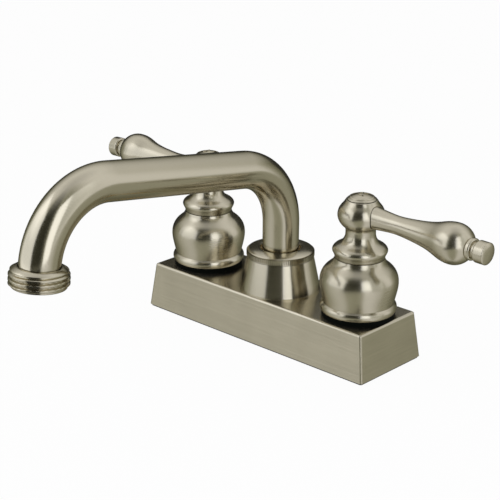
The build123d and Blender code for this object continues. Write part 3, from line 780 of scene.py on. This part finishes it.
# The nut's crown from its mouth to the band: radius and depth under the top, in mm
NUT_CROWN = (
    (10.3, 0.4), (10.5, 0.1), (10.9, 0.0), (12.3, 0.1), (13.6, 0.27), (14.9, 0.53), (15.8, 0.8),
    (16.4, 1.06), (16.72, 1.36),
)


class FAUCET_OT_spout_nut(bpy.types.Operator):
    """Turn the spout nut and knurl its band"""

    bl_idname = "faucet.spout_nut"
    bl_label = "Knurled Nut"

    def execute(self, context):
        nut = context.scene.faucet_nut
        material = sleeve_nickel()
        mouth, socket, skirt, flange = 10.3 * MM, 13.23 * MM, 14.98 * MM, 16.5 * MM
        crown_depth, roof = 1.65 * MM, 1.7 * MM
        foot = NUT_TOP - 4.5 * MM
        flange_height, tooth_gap, columns = 0.4 * MM, 0.02 * MM, 160
        profile = [
            *((radius * MM, NUT_TOP - depth * MM) for radius, depth in NUT_CROWN),
            (nut.band_radius, NUT_TOP - crown_depth),
            (nut.band_radius, foot + flange_height),
            (flange, foot),
            (skirt, foot),
            (skirt, NUT_FOOT),
            (socket, NUT_FOOT),
            (socket, NUT_TOP - roof),
            (mouth, NUT_TOP - roof),
        ]
        body = piece_from("spout_nut_turned", turned_mesh("nut", profile, columns), material)
        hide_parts("spout_nut")
        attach(body, "base")
        tooth_foot = foot + flange_height + tooth_gap
        values = {
            "Teeth": nut.teeth, "Tip Radius": nut.tooth_tip, "Tooth Width": nut.tooth_width,
            "Tooth Depth": nut.tooth_depth, "Tooth Height": nut.tooth_height,
            "Middle": tooth_foot + nut.tooth_height / 2,
        }
        knurl = linked("spout_nut_knurl", run_tree("nut_teeth", knurl_tree(material), values))
        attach(knurl, "base")
        return {"FINISHED"}


# The hose end's shoulder from its rim to the land over the thread: radius and depth, in mm
HOSE_SHOULDER = ((10.35, 0.0), (10.6, 0.1), (12.48, 1.2), (12.6, 1.35))


class FAUCET_OT_hose_end(bpy.types.Operator):
    """Turn the hose end with its real right-hand thread"""

    bl_idname = "faucet.hose_end"
    bl_label = "Hose End"

    def execute(self, context):
        sizes, spout = context.scene.faucet_threads, context.scene.faucet_spout
        corner = Vector((0.0, -spout.reach, spout.run_height + spout.reach * math.tan(spout.slope)))
        axis = Vector((0.0, -math.sin(spout.lean), -math.cos(spout.lean)))
        camera = Vector(context.scene.faucet_stage.camera_at) - corner
        seen = math.atan2(camera.dot(axis.cross(ACROSS)), camera.x)
        # Places along the drop, from the outer corner of the tube's line
        top, start, turns = 34.4 * MM, 36.3 * MM, 3
        end = start + turns * sizes.hose_pitch
        foot = end + 0.65 * MM
        thread = thread_rows(
            start, end, sizes.hose_crest, sizes.hose_depth, sizes.hose_pitch, 2 * sizes.rows, seen,
        )
        entry, entry_foot = 9.45 * MM, top + 2.2 * MM
        seat, seat_foot = 9.25 * MM, top + 5.25 * MM
        bore, bore_bevel = 8.3 * MM, 0.3 * MM
        land, land_bevel, land_foot = 12.6 * MM, 0.15 * MM, start - 0.05 * MM
        root, root_bevel = sizes.hose_crest - sizes.hose_depth, 0.25 * MM
        profile = [
            (entry, entry_foot),
            (entry, top),
            *((radius * MM, top + depth * MM) for radius, depth in HOSE_SHOULDER),
            (land, land_foot - land_bevel),
            (land - land_bevel, land_foot),
            *thread,
            (root, foot - root_bevel),
            (root - root_bevel, foot),
            (bore + bore_bevel, foot),
            (bore, foot - bore_bevel),
            (bore, seat_foot),
            (seat, seat_foot),
            (seat, entry_foot),
        ]
        mesh = turned_mesh("hose_thread", profile, 2 * sizes.columns, corner, axis)
        hose = piece_from("hose_end_threaded", mesh, thread_nickel())
        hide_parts("hose_end")
        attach(hose, "spout")
        return {"FINISHED"}


class FAUCET_OT_shanks(bpy.types.Operator):
    """Turn both supply shanks with their real right-hand threads"""

    bl_idname = "faucet.shanks"
    bl_label = "Supply Shanks"

    def execute(self, context):
        sizes = context.scene.faucet_threads
        bore, bevel = 6.8 * MM, 0.3 * MM
        start, gap = 3.0 * MM, 0.1 * MM
        for side in LETTERS:
            low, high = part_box(f"{side}_shank")
            middle = ((low.x + high.x) / 2, 0.0, 0.0)
            thread = thread_rows(
                start, -low.z, sizes.shank_crest, sizes.shank_depth, sizes.shank_pitch, sizes.rows,
            )
            profile = [
                (bore, -high.z),
                (sizes.shank_crest, -high.z),
                (sizes.shank_crest, start - gap),
                *thread,
                (bore + bevel, -low.z),
                (bore, -low.z - bevel),
            ]
            mesh = turned_mesh("shank_thread", profile, sizes.columns, middle, -UPRIGHT)
            shank = piece_from(f"{side}_shank_threaded", mesh, turned_brass())
            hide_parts(f"{side}_shank")
            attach(shank, "base")
        return {"FINISHED"}


MARK_ROOT = 0.2 * MM  # how deep the marks reach into the dome


def dome_height(radius, distance):
    """Height of a button's dome of this radius, at a distance from its axis."""
    return BUTTON_TOP - radius + math.sqrt(radius**2 - distance**2)


def lay_on_dome(mesh, radius):
    """Lays a flat relief, whose Z starts at 0, on a button's dome, with its root inside."""
    for vertex in mesh.vertices:
        vertex.co.z += dome_height(radius, math.hypot(vertex.co.x, vertex.co.y)) - MARK_ROOT


def button_profile(marks, edge, foot):
    """A domed button with a shadow gap round its foot."""
    steps = 16
    shoulder, lip, gap_top = 0.1 * MM, 0.08 * MM, 0.14 * MM
    brow = dome_height(marks.dome_radius, edge)
    dome = [(edge * i / steps, dome_height(marks.dome_radius, edge * i / steps)) for i in range(steps)]
    return [
        *dome,
        (edge - shoulder, brow + shoulder / 2),
        (edge, brow - lip),
        (edge - marks.undercut, brow - gap_top),
        (edge - marks.undercut, foot),
        (0.0, foot),
    ]


def ring_mesh(marks, height):
    """The raised ring, with its top edges broken."""
    half = marks.ring_width / 2
    flank, crest = 0.7 * height, 0.95 * height
    profile = [
        (marks.ring_radius - half, 0.0),
        (marks.ring_radius - half, flank),
        (marks.ring_radius - half / 2, crest),
        (marks.ring_radius + half / 2, crest),
        (marks.ring_radius + half, flank),
        (marks.ring_radius + half, 0.0),
    ]
    return turned_mesh("index_ring", profile, columns=72)


def letter_mesh(marks, letter, height):
    """The raised letter, with its edges broken."""
    curve = bpy.data.curves.new("index_letter", "FONT")
    curve.body = letter
    curve.size = marks.letter_height
    curve.align_x = "CENTER"
    curve.align_y = "CENTER"
    curve.extrude = height / 2
    curve.bevel_depth = 0.06 * MM
    curve.bevel_resolution = 1
    text = linked("index_letter", curve)
    mesh = plain_mesh(text)
    bpy.data.objects.remove(text)
    mesh.transform(Matrix.Translation(UPRIGHT * height / 2))
    return mesh


class FAUCET_OT_index_marks(bpy.types.Operator):
    """Turn each index button and raise a plain ring and a letter on it"""

    bl_idname = "faucet.index_marks"
    bl_label = "Index Marks"

    def execute(self, context):
        marks = context.scene.faucet_marks
        height = marks.relief + MARK_ROOT
        columns = 96
        for side, letter in LETTERS.items():
            low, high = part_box(f"{side}_index_button")
            middle = Vector(((low.x + high.x) / 2, 0.0, 0.0))
            profile = button_profile(marks, (high.x - low.x) / 2, low.z)
            mesh = turned_mesh("button", profile, columns, middle)
            button = piece_from(f"{side}_button_turned", mesh, bell_nickel())
            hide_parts(f"{side}_index_button")
            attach(button, f"{side}_handle")
            both = bmesh.new()
            for relief in (ring_mesh(marks, height), letter_mesh(marks, letter, height)):
                lay_on_dome(relief, marks.dome_radius)
                both.from_mesh(relief)
            mesh = bpy.data.meshes.new("index_mark")
            both.to_mesh(mesh)
            both.free()
            mesh.transform(Matrix.Translation(middle))
            mark = piece_from(f"{side}_index_mark", mesh, bell_nickel())
            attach(mark, f"{side}_handle")
        return {"FINISHED"}


# What the metal mirrors, read off. The first three go round: degrees from the camera to its
# right, and a grey level or a share. The others go up: degrees over the horizon, and the same.
TABLE = (
    (-180, 0.12), (-150, 0.15), (-125, 0.26), (-108, 0.43), (-90, 0.56), (-68, 0.64), (-50, 0.58),
    (-40, 0.4), (-12, 0.35), (4, 0.4), (16, 0.75), (40, 0.76), (60, 0.62), (80, 0.38), (100, 0.38),
    (115, 0.28), (135, 0.2), (180, 0.2),
)
WALL = (
    (-180, 0.16), (-165, 0.12), (-145, 0.12), (-128, 0.24), (-112, 0.36), (-100, 0.2), (-50, 0.2),
    (-42, 0.04), (0, 0.025), (8, 0.05), (16, 0.25), (50, 0.25), (72, 0.45), (82, 0.85), (98, 0.85),
    (110, 0.45), (125, 0.24), (145, 0.15), (180, 0.16),
)
FRONT_SHARE = ((-80, 0.0), (-45, 1.0), (40, 1.0), (85, 0.0))
CEILING = ((-90, 0.86), (56, 0.86), (75, 0.7), (90, 0.6))
FRONT_RISE = ((50, 0.0), (58, 0.1), (66, 0.28), (76, 0.6), (88, 1.0))
BACK_RISE = ((14, 0.0), (24, 0.4), (36, 0.7), (54, 1.0))
TABLE_EDGE = ((-10, 0.0), (-4, 1.0))
OLIVE = 0.4  # share of blue that black loses
NEUTRAL = 0.7  # level from which grey keeps all its blue
CARD_BLUE = 0.85  # share of blue that a dark card keeps
LAMP_COLOUR = (0.96, 0.985, 1.09)


def ramp(tree, stops, source, olive=0.0):
    """A colour ramp over grey levels, whose darker ones turn olive by the given share."""
    node = put(tree, "ShaderNodeValToRGB", in_0=source)
    points = node.color_ramp.elements
    if stops[0][0] > 0.0:
        stops = [(0.0, stops[0][1]), *stops]
    while len(points) < len(stops):
        points.new(1.0)
    for point, (at, level) in zip(points, stops):
        blue = 1.0 - olive * max(0.0, 1.0 - level / NEUTRAL)
        point.position = at
        point.color = (level, level, level * blue, 1.0)
    return node.outputs[0]


def studio_world(room):
    """A soft studio: white to the camera, even light on matt surfaces, and a room in the metal."""
    world = bpy.data.worlds.new("studio")
    bpy.context.scene.world = world
    world.use_nodes = True
    tree = world.node_tree
    tree.nodes.clear()
    direction = put(tree, "ShaderNodeTexCoord").outputs["Generated"]
    parts = put(tree, "ShaderNodeSeparateXYZ", in_0=direction)
    bearing = figure(tree, "ARCTAN2", parts.outputs[1], parts.outputs[0])
    # Half a turn puts the camera in the ramps' middle, and a whole one keeps the angle above zero
    turned = figure(tree, "ADD", bearing, math.radians(90.0 - PHOTO_AZIMUTH + 360.0 + 180.0))
    around = figure(tree, "FRACT", figure(tree, "DIVIDE", turned, 2 * math.pi))
    height = figure(tree, "MULTIPLY_ADD", figure(tree, "ARCSINE", parts.outputs[2]), 1 / math.pi, 0.5)

    def belt(stops):
        return ramp(tree, [((at + 180) / 360, level) for at, level in stops], around, OLIVE)

    def rise(stops):
        return ramp(tree, [((at + 90) / 180, level) for at, level in stops], height)

    def blend(share, first, second):
        node = put(tree, "ShaderNodeMix", data_type="RGBA")
        for label, source in (("Factor", share), ("A", first), ("B", second)):
            wire(tree, source, node.inputs[label])
        return node.outputs["Result"]

    ceiling_share = blend(belt(FRONT_SHARE), rise(BACK_RISE), rise(FRONT_RISE))
    above = blend(ceiling_share, belt(WALL), rise(CEILING))
    room_seen = blend(rise(TABLE_EDGE), belt(TABLE), above)
    mirrored = put(tree, "ShaderNodeBackground", in_Color=room_seen, in_Strength=1.0)
    plain = glow(tree, "ShaderNodeBackground", WHITE, room)
    rays = put(tree, "ShaderNodeLightPath").outputs
    shiny = figure(tree, "MAXIMUM", rays["Is Glossy Ray"], rays["Is Transmission Ray"])
    lit = mixed(tree, shiny, plain, mirrored.outputs[0])
    shown = mixed(tree, rays["Is Camera Ray"], lit, glow(tree, "ShaderNodeBackground", WHITE))
    wire(tree, shown, put(tree, "ShaderNodeOutputWorld").inputs["Surface"])


def studio_floor(paint, share):
    """A white floor that keeps the shadow, and shows the camera a share of plain white."""
    reach = 6.0
    mesh = bpy.data.meshes.new("floor")
    corners = [(-reach, -reach, 0), (reach, -reach, 0), (reach, reach, 0), (-reach, reach, 0)]
    mesh.from_pydata(corners, [], [(0, 1, 2, 3)])
    material, tree, out = bare_material("floor_white")
    matt = put(tree, "ShaderNodeBsdfDiffuse", in_Color=(*paint, 1.0))
    seen = put(tree, "ShaderNodeLightPath").outputs["Is Camera Ray"]
    white = glow(tree, "ShaderNodeEmission", WHITE)
    wire(tree, mixed(tree, figure(tree, "MULTIPLY", seen, share), matt.outputs[0], white), out)
    mesh.materials.append(material)
    floor = linked("floor", mesh)
    floor.visible_glossy = False


def soft_box(label, start, end, height, level):
    """An upright soft box on the floor between two places, which faces the faucet."""
    first, last = Vector((*start, 0.0)), Vector((*end, 0.0))
    back = (last - first).normalized().cross(UPRIGHT)
    middle = (first + last) / 2
    if back.dot(middle) < 0:
        back = -back
    lamp = bpy.data.lights.new(label, "AREA")
    lamp.shape = "RECTANGLE"
    lamp.size, lamp.size_y = (last - first).length, height
    lamp.energy = level * math.pi * lamp.size * height
    lamp.color = LAMP_COLOUR
    light = linked(label, lamp)
    turn = Matrix((UPRIGHT.cross(back), UPRIGHT, back)).transposed().to_4x4()
    light.matrix_world = Matrix.Translation(middle + UPRIGHT * height / 2) @ turn
    light.visible_camera = False


def studio_card(label, corners, level):
    """A dark card that shows only in the metal."""
    mesh = bpy.data.meshes.new(label)
    mesh.from_pydata(corners, [], [tuple(range(len(corners)))])
    material, tree, out = bare_material(label)
    wire(tree, glow(tree, "ShaderNodeEmission", (level, level, level * CARD_BLUE)), out)
    mesh.materials.append(material)
    card = linked(label, mesh)
    card.visible_camera = card.visible_diffuse = card.visible_shadow = False
    card.visible_transmission = False


def photo_camera(stage):
    """The camera at the photograph's place."""
    camera = bpy.data.cameras.new("camera")
    camera.sensor_width = 36.0
    camera.sensor_fit = "HORIZONTAL"
    camera.lens = stage.focal
    camera.clip_start, camera.clip_end = 0.01, 50.0
    view = linked("camera", camera)
    az, el, roll = stage.azimuth, stage.elevation, stage.roll
    back = Vector((math.sin(az) * math.cos(el), -math.cos(az) * math.cos(el), math.sin(el)))
    right = Vector((math.cos(az), math.sin(az), 0.0))
    up = back.cross(right)
    rolled = right * math.cos(roll) + up * math.sin(roll)
    upright = up * math.cos(roll) - right * math.sin(roll)
    turn = Matrix((rolled, upright, back)).transposed().to_4x4()
    view.matrix_world = Matrix.Translation(Vector(stage.camera_at)) @ turn
    bpy.context.scene.camera = view


class FAUCET_OT_stage(bpy.types.Operator):
    """Set the floor, the soft light and the camera"""

    bl_idname = "faucet.stage"
    bl_label = "Stage"

    def execute(self, context):
        stage = context.scene.faucet_stage
        context.scene.view_settings.view_transform = "Standard"
        studio_world(stage.room)
        studio_floor(stage.floor, stage.floor_glow)
        left_height, right_height, far_share = 0.62, 0.74, 0.55
        left_far, left_corner, left_near = (-0.44, -0.222), (-0.36, -0.297), (0.005, -0.637)
        right_near, right_corner, right_far = (0.519, -0.434), (0.57, -0.15), (0.62, 0.22)
        soft_box("left_box", left_corner, left_near, left_height, stage.left_box)
        soft_box("left_end", left_far, left_corner, left_height, stage.left_box * far_share)
        soft_box("right_box", right_near, right_corner, right_height, stage.right_box)
        soft_box("side_box", right_corner, right_far, right_height, stage.side_box)
        lift, dark = 0.4 * MM, 0.03
        front = ((0.003, -0.217), (0.049, -0.191), (0.49, -0.5), (0.031, -0.756))
        studio_card("front_card", [(*place, lift) for place in front], dark)
        left, right, card_height, dim = (-0.29, 0.0), (0.02, 0.29), 0.16, 0.05
        back = [(*left, 0.0), (*right, 0.0), (*right, card_height), (*left, card_height)]
        studio_card("back_card", back, dim)
        photo_camera(stage)
        return {"FINISHED"}


class FAUCET_PT_panel(bpy.types.Panel):
    """Lists the faucet's pieces and their settings."""

    bl_label = "Faucet"
    bl_idname = "FAUCET_PT_panel"
    bl_space_type = "VIEW_3D"
    bl_region_type = "UI"
    bl_category = "Faucet"

    def draw(self, context):
        column = self.layout.column(align=True)
        for operator in OPERATORS:
            column.operator(operator.bl_idname)
        for name, group in GROUPS.items():
            box = self.layout.box()
            box.label(text=group.__doc__)
            for prop in group.__annotations__:
                box.prop(getattr(context.scene, name), prop)


OPERATORS = (
    FAUCET_OT_finish_nodes,
    FAUCET_OT_spout_tube,
    FAUCET_OT_spout_nut,
    FAUCET_OT_hose_end,
    FAUCET_OT_shanks,
    FAUCET_OT_index_marks,
    FAUCET_OT_stage,
)


def register():
    """Registers the settings, the operators and the panel."""
    for name, group in GROUPS.items():
        bpy.utils.register_class(group)
        setattr(bpy.types.Scene, name, bpy.props.PointerProperty(type=group))
    for operator in OPERATORS:
        bpy.utils.register_class(operator)
    bpy.utils.register_class(FAUCET_PT_panel)


def unregister():
    """Takes them away again."""
    bpy.utils.unregister_class(FAUCET_PT_panel)
    for operator in reversed(OPERATORS):
        bpy.utils.unregister_class(operator)
    for name, group in reversed(GROUPS.items()):
        delattr(bpy.types.Scene, name)
        bpy.utils.unregister_class(group)


def main():
    """Dresses the faucet and sets the stage."""
    register()
    bpy.ops.faucet.finish_nodes()
    bpy.ops.faucet.spout_tube()
    bpy.ops.faucet.spout_nut()
    bpy.ops.faucet.hose_end()
    bpy.ops.faucet.shanks()
    bpy.ops.faucet.index_marks()
    bpy.ops.faucet.stage()


if __name__ == "__main__":
    main()
